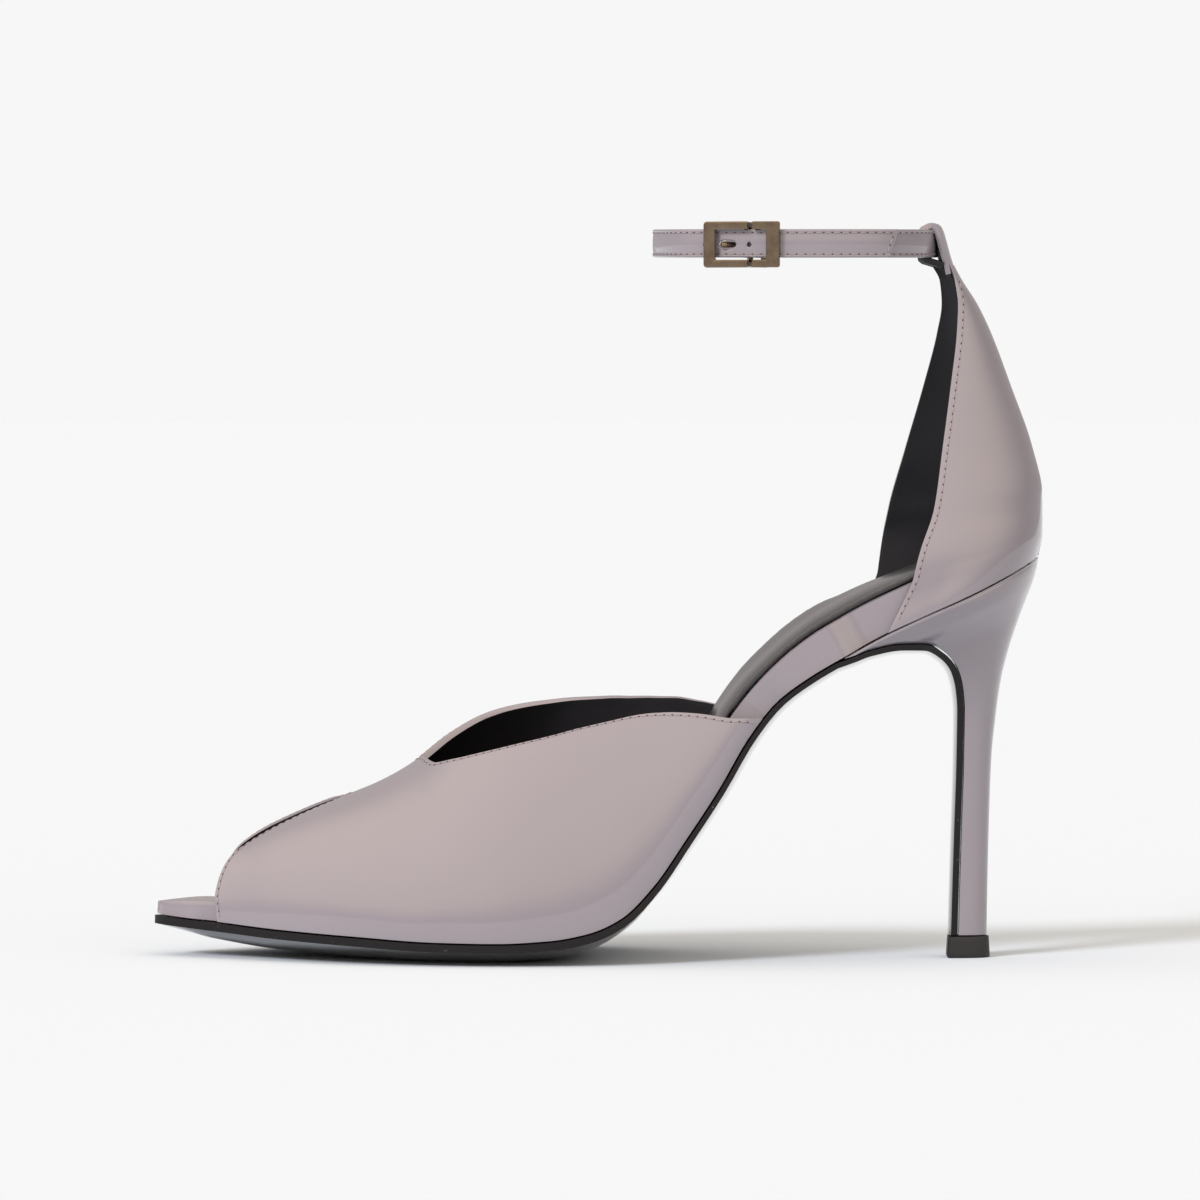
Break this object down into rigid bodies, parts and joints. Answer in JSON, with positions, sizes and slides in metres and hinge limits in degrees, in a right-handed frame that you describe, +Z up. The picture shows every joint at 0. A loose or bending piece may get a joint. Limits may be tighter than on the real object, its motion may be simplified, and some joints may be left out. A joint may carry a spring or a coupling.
{
  "type": "peep toe pump",
  "caption": "Left peep toe pump on a high slim heel, with open sides, a V throat, a high counter and a buckled ankle strap.",
  "frame": {"origin": "centre of the shoe's footprint box on the floor, under the arch", "axes": "+X towards the heel, toe towards -X; +Y towards the medial side, the buckle side is -Y; +Z up"},
  "size_m": [0.2221, 0.078, 0.183],
  "materials": {
    "patent_leather": "glossy patent",
    "sole_black": "polished",
    "sock_lining": "matte, padded",
    "lift_rubber": "matte",
    "buckle_metal": "polished pale gold"
  },
  "bodies": {
    "root": {"outsole": "sole_black", "insole_board": "patent_leather", "sock": "sock_lining", "vamp": "patent_leather", "counter": "patent_leather", "heel": "patent_leather", "top_lift": "lift_rubber", "ankle_strap": "patent_leather", "buckle_frame": "buckle_metal", "buckle_prong": "buckle_metal", "buckle_keeper": "buckle_metal"}
  },
  "joints": []
}
